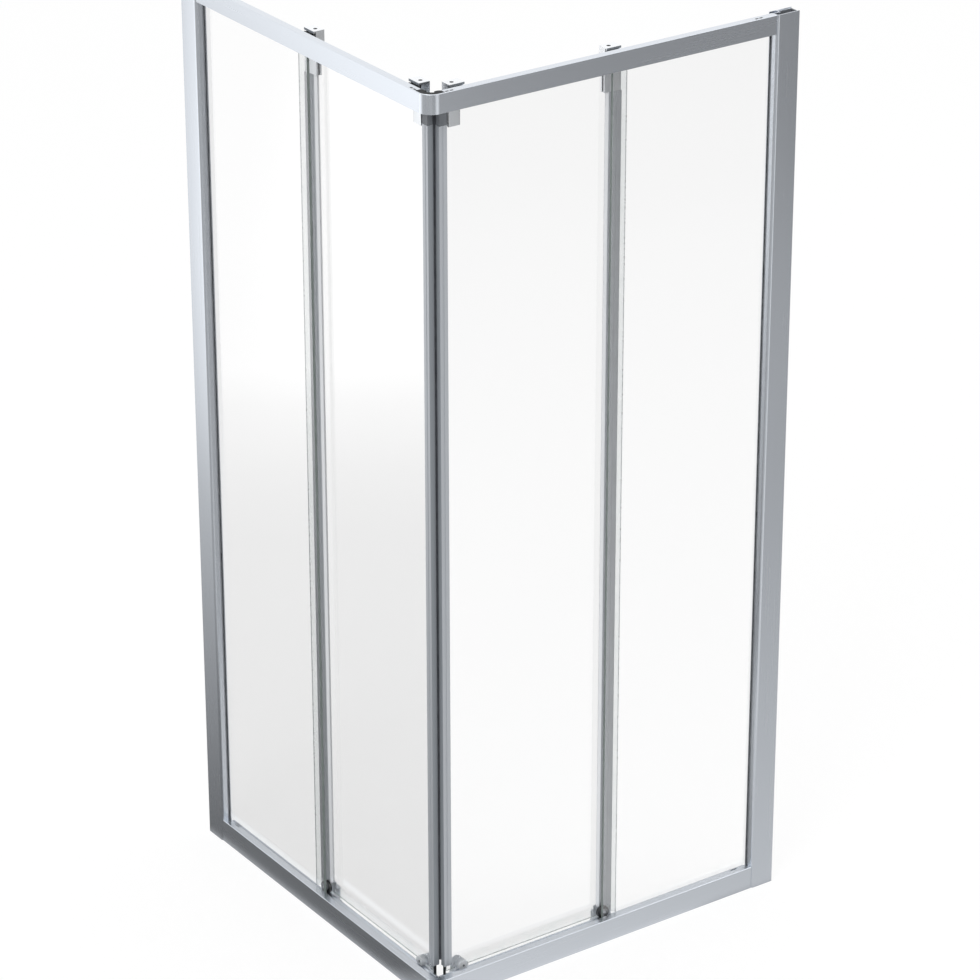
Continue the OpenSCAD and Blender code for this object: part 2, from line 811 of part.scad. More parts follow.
// Trailing runner: a foot under the stile that holds an open wheel and
// hangs behind the rail, rounded at its free end
module trail_runner() {
    edge_r = 5;
    back = door_back + trail_runner_reach;
    color(smoke) difference() {
        union() {
            upright(runner_low, runner_high) {
                rect(trail_foot_start, door_d, door_end, back - edge_r);
                rect(trail_foot_start + edge_r, door_d, door_end, back);
                translate([trail_foot_start + edge_r, back - edge_r]) circle(r = edge_r);
            }
            block([trail_foot_start, door_d, runner_high - past], [door_end, door_back, trail_foot_high]);
        }
        bar_inwards(trail_hub_s, door_d - past, trail_axle_z, axle_r + seat / 2,
            slot_front - door_d + 2 * past);
        glass_slot(0, door_end - stile_web);
    }
}

module lead_wheel_a() color(black) wheel(lead_start + first_wheel_s, top_axle_z, wheel_r);
module lead_wheel_b() color(black) wheel(lead_start + first_wheel_s + wheel_pitch, top_axle_z, wheel_r);
module trail_wheel_a() color(black) wheel(trail_start + first_wheel_s, top_axle_z, wheel_r);
module trail_wheel_b() color(black) wheel(trail_start + first_wheel_s + wheel_pitch, top_axle_z, wheel_r);
module lead_runner_wheel() color(smoke) wheel(lead_hub_s, lead_axle_z, lead_runner_r);
module trail_runner_wheel() color(black) wheel(trail_hub_s, trail_axle_z, trail_runner_r);

right_side() wall_channel();  // right_wall_channel
left_side() wall_channel();  // left_wall_channel
right_side() wall_post();  // right_wall_post
left_side() wall_post();  // left_wall_post
right_side() fixed_glass();  // right_fixed_glass
left_side() fixed_glass();  // left_fixed_glass
right_side() top_rail();  // right_top_rail
left_side() top_rail();  // left_top_rail
right_side() bottom_rail();  // right_bottom_rail
left_side() bottom_rail();  // left_bottom_rail
both_sides() jamb_gasket();  // jamb_gaskets
both_sides() head_gasket();  // head_gaskets
both_sides() sill_bead();  // sill_beads
both_sides() rail_buffer_pair();  // rail_buffers
both_sides() rail_screw_pair();  // rail_screws
top_corner_cover();
top_corner_joint();
bottom_corner_cover();
bottom_corner_joint();
corner_screws();
right_side() door_glass();  // right_door_glass
left_side() door_glass();  // left_door_glass
right_side() closing_stile();  // right_closing_stile
left_side() closing_stile();  // left_closing_stile
right_side() magnet_strip();  // right_magnet_strip
left_side() magnet_strip();  // left_magnet_strip
right_side() trailing_stile();  // right_trailing_stile
left_side() trailing_stile();  // left_trailing_stile
right_side() overlap_seal();  // right_overlap_seal
left_side() overlap_seal();  // left_overlap_seal
right_side() stile_plugs();  // right_stile_plugs
left_side() stile_plugs();  // left_stile_plugs
right_side() bottom_seal();  // right_bottom_seal
left_side() bottom_seal();  // left_bottom_seal
right_side() carriages();  // right_carriages
left_side() carriages();  // left_carriages
right_side() glass_clamps();  // right_glass_clamps
left_side() glass_clamps();  // left_glass_clamps
right_side() clamp_screws();  // right_clamp_screws
left_side() clamp_screws();  // left_clamp_screws
right_side() adjusting_screws();  // right_adjusting_screws
left_side() adjusting_screws();  // left_adjusting_screws
right_side() wheel_axles();  // right_wheel_axles
left_side() wheel_axles();  // left_wheel_axles
right_side() lead_runner();  // right_lead_runner
left_side() lead_runner();  // left_lead_runner
right_side() trail_runner();  // right_trail_runner
left_side() trail_runner();  // left_trail_runner
right_side() lead_wheel_a();  // right_lead_wheel_a
left_side() lead_wheel_a();  // left_lead_wheel_a
right_side() lead_wheel_b();  // right_lead_wheel_b
left_side() lead_wheel_b();  // left_lead_wheel_b
right_side() trail_wheel_a();  // right_trail_wheel_a
left_side() trail_wheel_a();  // left_trail_wheel_a
right_side() trail_wheel_b();  // right_trail_wheel_b
left_side() trail_wheel_b();  // left_trail_wheel_b
right_side() lead_runner_wheel();  // right_lead_runner_wheel
left_side() lead_runner_wheel();  // left_lead_runner_wheel
right_side() trail_runner_wheel();  // right_trail_runner_wheel
left_side() trail_runner_wheel();  // left_trail_runner_wheel
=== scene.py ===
"""Corner-entry shower enclosure in satin aluminium and clear glass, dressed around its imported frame."""

import math

import bmesh
import bpy
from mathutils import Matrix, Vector


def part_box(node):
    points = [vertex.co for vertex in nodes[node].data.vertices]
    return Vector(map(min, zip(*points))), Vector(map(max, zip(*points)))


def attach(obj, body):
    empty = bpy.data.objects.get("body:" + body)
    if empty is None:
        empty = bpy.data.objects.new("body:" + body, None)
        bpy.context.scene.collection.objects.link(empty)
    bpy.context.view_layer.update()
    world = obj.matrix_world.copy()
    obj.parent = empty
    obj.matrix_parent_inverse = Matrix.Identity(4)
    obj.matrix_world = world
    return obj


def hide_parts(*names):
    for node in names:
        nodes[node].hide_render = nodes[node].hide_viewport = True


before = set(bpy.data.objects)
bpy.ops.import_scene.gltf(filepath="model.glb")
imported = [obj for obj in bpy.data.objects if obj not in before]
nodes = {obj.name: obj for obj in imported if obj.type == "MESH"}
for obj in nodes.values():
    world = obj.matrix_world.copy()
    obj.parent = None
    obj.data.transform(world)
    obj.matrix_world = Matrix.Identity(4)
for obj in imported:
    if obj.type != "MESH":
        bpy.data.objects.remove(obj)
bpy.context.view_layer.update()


# Camera
# Stands in front of the outer corner, turned to the right and looking down, with a long lens
# and a slight sideways shift, so that the corner faces it a little left of the middle.
def standing(name, data):
    """A new object in the scene, at the origin."""
    piece = bpy.data.objects.new(name, data)
    bpy.context.scene.collection.objects.link(piece)
    return piece


camera = standing("camera", bpy.data.cameras.new("camera"))
camera.location = (-4.25708, -6.12835, 4.35028)
camera.rotation_euler = (math.radians(64.875), 0, math.radians(-34.978))
camera.data.sensor_width = 36
camera.data.lens = 149.91
camera.data.shift_x = -0.0096
camera.data.clip_end = 200
bpy.context.scene.camera = camera
bpy.context.scene.view_settings.view_transform = "Standard"


# Floor
# A plain white floor that runs past the view. What metal and glass mirror of it is a painted reflection:
# painted lighter and darker from one side of the room to the other, standing in for a studio's soft boxes.
MM = 0.001
WHITE = (1, 1, 1, 1)
SMOOTH = {"interpolation_type": "SMOOTHSTEP"}
MULTIPLY = {"operation": "MULTIPLY"}
MAXIMUM = {"operation": "MAXIMUM"}
DOT = {"operation": "DOT_PRODUCT"}
floor_reach = 60
floor_gap = 0.3 * MM
half_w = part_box("right_wall_post")[1][0]


def add(tree, kind, settings=None, **links):
    """Adds a node of a kind to a tree. Settings set its properties. A link gives an input its value, or
    the node or output socket that feeds it; an input is named, or numbered as in_0."""
    made = tree.nodes.new(kind)
    for key, value in (settings or {}).items():
        setattr(made, key, value)
    for key, value in links.items():
        socket = made.inputs[int(key[3:])] if key.startswith("in_") else made.inputs[key.replace("_", " ")]
        if isinstance(value, bpy.types.Node):
            value = value.outputs[0]
        if isinstance(value, bpy.types.NodeSocket):
            tree.links.new(value, socket)
        else:
            socket.default_value = value
    return made


def cleared(owner):
    """The empty node tree of a material or a world."""
    owner.use_nodes = True
    owner.node_tree.nodes.clear()
    return owner.node_tree


def stage_sheet(name, corners, paint_name):
    """A flat sheet of the stage. Returns it and the empty tree of its paint."""
    mesh = bpy.data.meshes.new(name)
    mesh.from_pydata(corners, [], [(0, 1, 2, 3)])
    paint = bpy.data.materials.new(paint_name)
    mesh.materials.append(paint)
    piece = standing(name, mesh)
    return piece, cleared(paint)


def ray_kinds(tree):
    """A tree's light path, and one where the ray comes by way of a mirroring surface."""
    path = add(tree, "ShaderNodeLightPath").outputs
    mirrored = add(tree, "ShaderNodeMath", {"operation": "MINIMUM"}, in_0=path["Glossy Depth"], in_1=1.0)
    return path, mirrored


floor, tree = stage_sheet("floor", [
    (-floor_reach, -floor_reach, 0), (floor_reach, -floor_reach, 0),
    (floor_reach, floor_reach, 0), (-floor_reach, floor_reach, 0)], "white_floor")
floor.location.z = -floor_gap
path, mirrored = ray_kinds(tree)
place = add(tree, "ShaderNodeTexCoord").outputs["Object"]

# Both sides mirror the painted reflection along one line: the left side its far end, the right side its
# near end. Places along the line and across it are in metres from the enclosure's middle.
away, across = (add(tree, "ShaderNodeVectorMath", DOT, in_0=place, in_1=direction).outputs["Value"]
                for direction in ((-0.574, 0.819, 0), (0.819, 0.574, 0)))
line_end = 6.0
# A ramp's colours end at one, so its levels are shares of the brightest one.
brightest = 4.0
along_line = add(tree, "ShaderNodeMapRange", in_0=away, in_1=-line_end, in_2=line_end, in_3=0, in_4=1)


def shaded(stops):
    """The painted reflection's level along that line, from pairs of place and level."""
    ramp = add(tree, "ShaderNodeValToRGB", in_0=along_line)
    elements = ramp.color_ramp.elements
    for at, level in stops[1:-1]:
        elements.new((at + line_end) / (2 * line_end))
    for element, (at, level) in zip(elements, stops):
        element.color = (level / brightest,) * 3 + (1,)
    return add(tree, "ShaderNodeMath", MULTIPLY, in_0=ramp, in_1=brightest)


far_share = add(tree, "ShaderNodeMapRange", SMOOTH, in_0=away, in_1=2.0, in_2=3.2, in_3=0, in_4=1)
far_fall = add(tree, "ShaderNodeMapRange", SMOOTH, in_0=across, in_1=-0.2, in_2=0.1, in_3=1.0, in_4=0.55)
fall = add(tree, "ShaderNodeMix", in_0=far_share, in_2=1.0, in_3=far_fall)
level = add(tree, "ShaderNodeMath", MULTIPLY, in_1=fall, in_0=shaded((
    (-6, 0.25), (-4.75, 0.30), (-4.15, 0.50), (-2.6, 0.48), (-0.6, 0.68), (-0.15, 0.84), (0.05, 0.17),
    (0.6, 0.19), (2.4, 0.62), (2.9, 1.2), (3.9, 1.5), (6, 1.45))))

# A strip of painted shade runs from the corner to the left, and a strip of painted highlight to the front,
# in what metal and glass mirror. Each is full within its core's half angle and gone past its edge's, in
# degrees.
from_corner = add(tree, "ShaderNodeVectorMath", {"operation": "ADD"}, in_0=place, in_1=(half_w, half_w, 0))
heading = add(tree, "ShaderNodeVectorMath", {"operation": "NORMALIZE"}, in_0=from_corner)
distance = add(tree, "ShaderNodeVectorMath", {"operation": "LENGTH"}, in_0=from_corner).outputs["Value"]
off_corner = add(tree, "ShaderNodeMapRange", SMOOTH, in_0=distance, in_1=0.05, in_2=0.5, in_3=0, in_4=1)
for direction, edge, core, painted_strip_level in (
    ((-0.966, -0.259, 0), 42, 28, 0.48),
    ((0.259, -0.966, 0), 16, 8, 1.0),
):
    facing = add(tree, "ShaderNodeVectorMath", DOT, in_0=heading, in_1=direction).outputs["Value"]
    strip = add(tree, "ShaderNodeMapRange", SMOOTH, in_0=facing, in_1=math.cos(math.radians(edge)),
                in_2=math.cos(math.radians(core)), in_3=0, in_4=1)
    strip = add(tree, "ShaderNodeMath", MULTIPLY, in_0=strip, in_1=off_corner)
    level = add(tree, "ShaderNodeMix", in_0=strip, in_2=level, in_3=painted_strip_level)

# The floor inside the enclosure is mirrored darker: painted shade in the reflection.
spans = add(tree, "ShaderNodeVectorMath", {"operation": "ABSOLUTE"}, in_0=place)
spans = add(tree, "ShaderNodeSeparateXYZ", in_0=spans).outputs
furthest = add(tree, "ShaderNodeMath", MAXIMUM, in_0=spans[0], in_1=spans[1])
inside = add(tree, "ShaderNodeMapRange", SMOOTH, in_0=furthest, in_1=half_w - 30 * MM,
             in_2=half_w + 20 * MM, in_3=1, in_4=0)
painted_inside_shade = add(tree, "ShaderNodeMapRange", SMOOTH, in_0=across, in_1=-0.1, in_2=0.0, in_3=0.95,
                   in_4=0.40)
level = add(tree, "ShaderNodeMix", in_0=inside, in_2=level, in_3=painted_inside_shade)

# The panes, which alone mirror sharply, get a smoother painted reflection of their own.
first_meeting = add(tree, "ShaderNodeMath", {"operation": "LESS_THAN"}, in_0=path["Ray Depth"], in_1=1.5)
by_pane = add(tree, "ShaderNodeMath", MULTIPLY, in_0=path["Is Singular Ray"], in_1=first_meeting)
level = add(tree, "ShaderNodeMix", in_0=by_pane, in_2=level, in_3=shaded((
    (-6, 1.0), (-4.5, 1.2), (-2.5, 1.8), (-0.6, 2.4), (-0.1, 1.5), (0.1, 0.3), (2.0, 0.2), (2.2, 0.35),
    (2.5, 0.7), (2.8, 1.0), (3.05, 1.6), (6, 1.6))))

# Where it is seen, most of the floor is plain white, and the rest keeps the object's shadow.
plain_share = 0.8
seen = add(tree, "ShaderNodeMath", MAXIMUM, in_0=path["Is Camera Ray"], in_1=path["Is Transmission Ray"])
seen = add(tree, "ShaderNodeMath", MULTIPLY, in_0=seen, in_1=plain_share)
matt = add(tree, "ShaderNodeBsdfDiffuse", Color=WHITE)
plain = add(tree, "ShaderNodeEmission", Color=WHITE, Strength=1.02)
white = add(tree, "ShaderNodeMixShader", in_0=seen, in_1=matt, in_2=plain)
# Mirrored rays meet this painted reflection instead of the plain floor.
painted_mirror_glow = add(tree, "ShaderNodeEmission", Color=WHITE, Strength=level)
both = add(tree, "ShaderNodeMixShader", in_0=mirrored, in_1=white, in_2=painted_mirror_glow)
add(tree, "ShaderNodeOutputMaterial", Surface=both)


# Grey card, a painted reflection
# Stands low behind the enclosure where a photographer's card would, but only mirrored rays meet it: a
# painted reflection that greys what the lower part of the metal mirrors.
card_left, card_right, card_back = -0.38, 1.8, 0.6
card_low, card_high = 0.02, 1.05
painted_card_level = 0.76
card, tree = stage_sheet("card", [
    (card_left, card_back, card_low), (card_right, card_back, card_low),
    (card_right, card_back, card_high), (card_left, card_back, card_high)], "reflection_only_card")
card.visible_shadow = card.visible_diffuse = card.visible_camera = False
_, mirrored = ray_kinds(tree)
gone = add(tree, "ShaderNodeBsdfTransparent")
grey = add(tree, "ShaderNodeEmission", Color=WHITE, Strength=painted_card_level)
both = add(tree, "ShaderNodeMixShader", in_0=mirrored, in_1=gone, in_2=grey)
add(tree, "ShaderNodeOutputMaterial", Surface=both)


# Sky and lamps
# A soft white sky lights the object from all sides, with a large lamp to the left for the key
# and a weaker one to the right. The sky is plain white where it is seen.
sky_glow, sky_seen, sky_mirrored = 0.85, 1.0, 1.08
sky = bpy.data.worlds.new("white_sky")
bpy.context.scene.world = sky
tree = cleared(sky)
path, mirrored = ray_kinds(tree)
seen = add(tree, "ShaderNodeMath", MAXIMUM, in_0=path["Is Camera Ray"], in_1=path["Is Transmission Ray"])
level = add(tree, "ShaderNodeMix", in_0=seen, in_2=sky_glow, in_3=sky_seen)
level = add(tree, "ShaderNodeMix", in_0=mirrored, in_2=level, in_3=sky_mirrored)
glow = add(tree, "ShaderNodeBackground", Color=WHITE, Strength=level)
add(tree, "ShaderNodeOutputWorld", Surface=glow)

lamps_aim = Vector((0, 0, 0.9))
for name, stand, width, watts in (
    ("key_lamp", (-5, -3, 6), 3.0, 130),
    ("fill_lamp", (5, -4, 4), 4.0, 45),
):
    lamp = standing(name, bpy.data.lights.new(name, "AREA"))
    lamp.data.size = width
    lamp.data.energy = watts
    lamp.location = stand
    lamp.rotation_euler = (lamps_aim - Vector(stand)).to_track_quat("-Z", "Y").to_euler()


# Wall channels
# U-shaped aluminium extrusions, cut to length and screwed to the wall, hidden inside the posts.
# Left as milled: duller than the anodised pieces, with die lines along their length.
RUN_X, RUN_Y, RUN_Z = 0, 1, 2
# Each side's name, the axis it runs along and the axis of its depth. On both axes the corner and
# the outside are at the low end.
SIDES = (("right", RUN_X, RUN_Y), ("left", RUN_Y, RUN_X))


def linear(code):
    """An sRGB hex colour, such as "c8cacc", as linear red, green, blue and alpha."""
    parts = [int(code[i:i + 2], 16) / 255 for i in (0, 2, 4)]
    return tuple(p / 12.92 if p <= 0.04045 else ((p + 0.055) / 1.055) ** 2.4 for p in parts) + (1,)


def surface(tree, tone, light, dark, sheen, rough, swing, **sockets):
    """Ends a material's tree in a shader. One pattern blends its light and dark colour, another
    swings its roughness either way. The sockets are the shader's other values, by name."""
    share = add(tree, "ShaderNodeMapRange", SMOOTH, in_0=tone, in_1=0.3, in_2=0.7, in_3=0, in_4=1)
    colour = add(tree, "ShaderNodeMix", {"data_type": "RGBA"}, in_0=share, in_6=linear(dark),
                 in_7=linear(light)).outputs[2]
    roughness = add(tree, "ShaderNodeMapRange", SMOOTH, in_0=sheen, in_1=0.3, in_2=0.7,
                    in_3=rough - swing, in_4=rough + swing)
    shader = add(tree, "ShaderNodeBsdfPrincipled", Base_Color=colour, Roughness=roughness, **sockets)
    add(tree, "ShaderNodeOutputMaterial", Surface=shader)


def extruded(name, run, light, dark, rough, metallic=1.0):
    """Aluminium with the lines that a die or a roll leaves along one axis. Real lines are about
    0.1 mm apart, too fine to show, so they are drawn 4 mm wide. Wider clouds lie over them."""
    line_wide, line_long, line_deep = 4 * MM, 400 * MM, 0.1 * MM
    cloud_wide, cloud_share = 110 * MM, 0.3
    made = bpy.data.materials.new(name)
    tree = cleared(made)
    streak = [1 / line_wide] * 3
    streak[run] = 1 / line_long
    spot = add(tree, "ShaderNodeTexCoord").outputs["Object"]
    drawn = add(tree, "ShaderNodeMapping", Vector=spot, Scale=streak)
    lines = add(tree, "ShaderNodeTexNoise", Vector=drawn, Scale=1.0, Detail=3.0, Roughness=0.6)
    cloud = add(tree, "ShaderNodeTexNoise", Vector=spot, Scale=1 / cloud_wide, Detail=2.0)
    tone = add(tree, "ShaderNodeMix", in_0=cloud_share, in_2=lines, in_3=cloud)
    bump = add(tree, "ShaderNodeBump", Strength=0.004, Distance=line_deep, Height=lines)
    surface(tree, tone, light, dark, lines, rough, 0.004, Normal=bump, Metallic=metallic)
    return made


def coat(node, made):
    """Gives a CAD node its finish."""
    nodes[node].data.materials.clear()
    nodes[node].data.materials.append(made)


mill_aluminium = extruded("mill_finish_aluminium", RUN_Z, "cdd0d4", "b9bcc0", 0.42)
for side, _, _ in SIDES:
    coat(side + "_wall_channel", mill_aluminium)


# Wall posts
# Box-section extrusions with a rounded front edge, satin silver anodised. They slide over the
# channels and hold the fixed pane's edge in a pocket. Their cut ends and edges are deburred.
satin = [extruded("satin_anodised_aluminium_along_" + axis, run, "d8dde4", "d7dce3", 0.27)
         for run, axis in enumerate("xyz")]


def crisp(node, body, made, other=None, where=None, edge=0.35 * MM, rounds=2, on_edges=0):
    """A copy of a CAD node whose sharp edges are broken by a small round, in place of the node.
    The other finish goes where a rule says so of a face, and on the broken edges with on_edges 1."""
    shape = bmesh.new()
    shape.from_mesh(nodes[node].data)
    bmesh.ops.remove_doubles(shape, verts=shape.verts, dist=0.001 * MM)
    bmesh.ops.dissolve_limit(shape, angle_limit=math.radians(0.5), verts=shape.verts, edges=shape.edges)
    mesh = bpy.data.meshes.new("dressed_" + node)
    shape.to_mesh(mesh)
    shape.free()
    mesh.materials.append(made)
    if other:
        mesh.materials.append(other)
    for face in mesh.polygons:
        face.use_smooth = True
        face.material_index = 1 if where and where(face) else 0
    mesh.set_sharp_from_angle(angle=math.radians(30))
    piece = standing("dressed_" + node, mesh)
    bevel = piece.modifiers.new("broken_edges", "BEVEL")
    bevel.width = edge
    bevel.segments = rounds
    bevel.limit_method = "ANGLE"
    bevel.angle_limit = math.radians(35)
    bevel.harden_normals = True
    bevel.material = on_edges
    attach(piece, body)
    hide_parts(node)


for side, _, _ in SIDES:
    crisp(side + "_wall_post", "frame", satin[RUN_Z])


# Rails
# Extrusions like the posts. The top rail has a flange on its face and the track behind it; the
# bottom rail is a box with a ledge. Both are sawn square and screwed to the posts and joints.
for side, run, _ in SIDES:
    crisp(side + "_top_rail", "frame", satin[run])
    crisp(side + "_bottom_rail", "frame", satin[run])


# Corner covers and joints
# The covers are bent aluminium strips, satin anodised, that carry the rails' faces round the
# corner. The joints behind them are moulded black nylon with a fine spark-eroded grain.
def moulded(name, light, dark, rough, grain=0.8 * MM, depth=0.15, **sockets):
    """Moulded plastic or rubber with the mould's eroded grain, which dulls it. Real grain is about
    0.1 mm across, too fine to show, so it is drawn wider. The colour drifts over wider clouds."""
    cloud_wide, grain_deep = 25 * MM, 0.05 * MM
    made = bpy.data.materials.new(name)
    tree = cleared(made)
    spot = add(tree, "ShaderNodeTexCoord").outputs["Object"]
    grains = add(tree, "ShaderNodeTexNoise", Vector=spot, Scale=1 / grain, Detail=2.0, Roughness=0.5)
    cloud = add(tree, "ShaderNodeTexNoise", Vector=spot, Scale=1 / cloud_wide, Detail=2.0)
    bump = add(tree, "ShaderNodeBump", Strength=depth, Distance=grain_deep, Height=grains)
    surface(tree, cloud, light, dark, grains, rough, 0.05, Normal=bump, **sockets)
    return made


black_nylon = moulded("moulded_black_nylon", "232528", "181a1c", 0.5, Specular_IOR_Level=0.15)
for end in ("top", "bottom"):
    crisp(end + "_corner_cover", "frame", satin[RUN_Z])
    coat(end + "_corner_joint", black_nylon)


# Gaskets and beads
# The gaskets in the posts' pockets are extruded black rubber, painted a dull mid grey as a painted sheen
# that lifts them out of the shade of the pockets. The beads under and over the panes are clear soft vinyl,
# drawn through a die, so smooth and glossy.
sheen_painted_rubber = moulded("extruded_rubber_painted_sheen", "8a8e93", "7c8085", 0.45, grain=1.2 * MM)
clear_vinyl = moulded("clear_soft_vinyl", "ffffff", "fcfdfd", 0.12, grain=6 * MM, depth=0.1,
                      IOR=1.06, Transmission_Weight=1.0)
coat("jamb_gaskets", sheen_painted_rubber)
coat("sill_beads", clear_vinyl)
coat("head_gaskets", clear_vinyl)


# Rail buffers
# Moulded black rubber stops, clipped through the slots of the top rails' flanges, that the
# carriages' wheels run up to.
buffer_rubber = moulded("moulded_black_rubber", "2c2e31", "1e2022", 0.55)
coat("rail_buffers", buffer_rubber)


# Screws
# Stainless steel pan-head screws: one through the post into each rail's end, one through the
# corner joint into the other end. Cold-formed, so they have a soft, slightly uneven shine.
def steel(name, light, dark, rough):
    """Cold-formed or ground steel with a slight mottle in its shine."""
    mottle_wide = 2 * MM
    made = bpy.data.materials.new(name)
    tree = cleared(made)
    spot = add(tree, "ShaderNodeTexCoord").outputs["Object"]
    mottle = add(tree, "ShaderNodeTexNoise", Vector=spot, Scale=1 / mottle_wide, Detail=3.0)
    surface(tree, mottle, light, dark, mottle, rough, 0.06, Metallic=1.0)
    return made


stainless = steel("stainless_steel", "c6c8ca", "a9abad", 0.28)
coat("rail_screws", stainless)
coat("corner_screws", stainless)


# Panes
# 6 mm clear float glass, toughened. The faces are fire-polished and all but colourless; the
# edges are ground and arrised, so they look frosted and faintly green.
arris = 0.5 * MM


def float_glass():
    """The clear glass of the panes, with a fine trace of unevenness that is a hand's width across."""
    wave_wide, wave_deep = 83 * MM, 0.02 * MM
    made = bpy.data.materials.new("clear_toughened_glass")
    tree = cleared(made)
    spot = add(tree, "ShaderNodeTexCoord").outputs["Object"]
    wave = add(tree, "ShaderNodeTexNoise", Vector=spot, Scale=1 / wave_wide, Detail=0.0)
    bump = add(tree, "ShaderNodeBump", Strength=0.05, Distance=wave_deep, Height=wave)
    shader = add(tree, "ShaderNodeBsdfPrincipled", Base_Color=linear("f8f8f8"), Roughness=0.0, IOR=1.5,
                 Transmission_Weight=1.0, Normal=bump)
    add(tree, "ShaderNodeOutputMaterial", Surface=shader)
    return made


clear_glass = float_glass()
ground_edge = moulded("ground_glass_edge", "d3e0dc", "c3d3ce", 0.4, grain=0.6 * MM, depth=0.2,
                      IOR=1.5, Transmission_Weight=0.7)
for side, _, deep in SIDES:
    for node, body in ((side + "_fixed_glass", "frame"), (side + "_door_glass", side + "_door")):
        crisp(node, body, clear_glass, ground_edge,
              lambda face: abs(face.normal[deep]) < 0.9, edge=arris, rounds=1, on_edges=1)


# Door stiles
# Aluminium extrusions, pushed onto the upright edges of the sliding panes: the closing stile at
# the corner and the trailing stile, with its slanted lip, at the other edge. Etched and anodised,
# so they are duller than the frame.
nose_side, lip_run = 2.6 * MM, 5.4 * MM
etched = extruded("etched_anodised_aluminium", RUN_Z, "b4b8bd", "b2b6bb", 0.45, metallic=0.45)
# The corner side of the closing stile's hollow nose is painted a darker grey, as painted shade.
shade_painted_grey = extruded("grey_painted_shade_aluminium", RUN_Z, "969ba0", "94999e", 0.45, metallic=0.45)
# The slanted lip and the back leg of the trailing stile are painted bright, as a painted highlight.
highlight_painted_bright = extruded("painted_highlight_aluminium", RUN_Z, "eceef1", "e9ebee", 0.3, metallic=0.3)
for side, run, deep in SIDES:
    nose_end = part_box(side + "_closing_stile")[0][run] + nose_side
    lip_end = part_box(side + "_trailing_stile")[0][run] + lip_run
    glass_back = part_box(side + "_door_glass")[1][deep]
    crisp(side + "_closing_stile", side + "_door", etched, shade_painted_grey,
          lambda face: face.center[run] < nose_end, edge=0.3 * MM)
    crisp(side + "_trailing_stile", side + "_door", etched, highlight_painted_bright,
          lambda face: face.center[run] < lip_end or face.center[deep] > glass_back, edge=0.3 * MM)


# Strips, fins and plugs of the doors
# Magnetic strips in dark vinyl behind the closing stiles, milky fins with a firm tip on the
# trailing stiles, clear drip seals on the lower edges, and nylon plugs in the stiles' noses.
fin_tip = 1.3 * MM
cap_low = 1.0
magnet_vinyl = moulded("dark_magnet_vinyl", "4a4d52", "3a3d42", 0.4, grain=1.5 * MM)
milky_vinyl = moulded("soft_milky_vinyl", "eaecec", "e5e8e8", 0.2, grain=6 * MM, depth=0.1,
                      IOR=1.12, Transmission_Weight=1.0)
grey_vinyl = moulded("firm_grey_vinyl", "c8cccd", "c2c6c8", 0.3, grain=6 * MM,
                     IOR=1.12, Transmission_Weight=0.7)
# The upper plugs are dark grey, painted shade for the darkening of the stiles' top ends under the corner
# cover; the lower ones are black.
shade_painted_cap = moulded("moulded_nylon_painted_shade", "6a6e73", "5c6065", 0.45)
for side, run, _ in SIDES:
    tip_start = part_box(side + "_overlap_seal")[1][run] - fin_tip
    coat(side + "_magnet_strip", magnet_vinyl)
    crisp(side + "_overlap_seal", side + "_door", milky_vinyl, grey_vinyl,
          lambda face: face.center[run] > tip_start, edge=0.1 * MM)
    coat(side + "_bottom_seal", clear_vinyl)
    crisp(side + "_stile_plugs", side + "_door", black_nylon, shade_painted_cap,
          lambda face: face.center.z > cap_low, edge=0.3 * MM)


# Carriages and glass clamps
# The carriages are cut from a bright rolled aluminium angle and bent; their front lip is painted a darker
# grey, as painted shade for the dark band under the plate. The clamps below them are die-cast and grip the
# panes' upper edges with grub screws.
lip_deep = 2 * MM
bright = [extruded("bright_rolled_aluminium_along_" + axis, run, "f2f4f7", "eff1f4", 0.25)
          for run, axis in enumerate("xy")]
die_cast = extruded("satin_die_cast_zinc", RUN_Z, "e8ebee", "e5e8ec", 0.35)
for side, run, deep in SIDES:
    lip_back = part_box(side + "_carriages")[0][deep] + lip_deep
    crisp(side + "_carriages", side + "_door", bright[run], shade_painted_grey,
          lambda face: face.center[deep] < lip_back, edge=0.3 * MM)
    crisp(side + "_glass_clamps", side + "_door", die_cast, edge=0.5 * MM)
    coat(side + "_clamp_screws", stainless)


# Height adjusting screws
# Black-oxide socket screws that hang the clamps from the carriages. They are turned through the
# key holes.
black_oxide = steel("black_oxide_steel", "3c3e41", "2c2e31", 0.4)
for side, _, _ in SIDES:
    coat(side + "_adjusting_screws", black_oxide)


# Key hole caps
# Moulded black nylon discs that are pressed into the key holes of the carriages' plates, over
# the adjusting screws. A fine ease runs round their upper edge.
RING_STEPS = 48
cap_r, cap_t, cap_ease, cap_bore = 3.85 * MM, 1.6 * MM, 0.3 * MM, 0.2 * MM
cap_sunk = 0.1 * MM


def turned(name, axis, centre, outline, made):
    """A closed ring turned about an axis, from an outline of radius and place along the axis."""
    points, faces = [], []
    count = len(outline)
    first, second = [i for i in range(3) if i != axis]
    for step in range(RING_STEPS):
        angle = 2 * math.pi * step / RING_STEPS
        for radius, side_step in outline:
            point = list(centre)
            point[axis] += side_step
            point[first] += radius * math.cos(angle)
            point[second] += radius * math.sin(angle)
            points.append(point)
        for i in range(count):
            here, there = step * count, (step + 1) % RING_STEPS * count
            faces.append((here + i, here + (i + 1) % count, there + (i + 1) % count, there + i))
    mesh = bpy.data.meshes.new(name)
    mesh.from_pydata(points, [], faces)
    shape = bmesh.new()
    shape.from_mesh(mesh)
    bmesh.ops.recalc_face_normals(shape, faces=shape.faces)
    shape.to_mesh(mesh)
    shape.free()
    for face in mesh.polygons:
        face.use_smooth = True
    mesh.set_sharp_from_angle(angle=math.radians(40))
    mesh.materials.append(made)
    return standing(name, mesh)


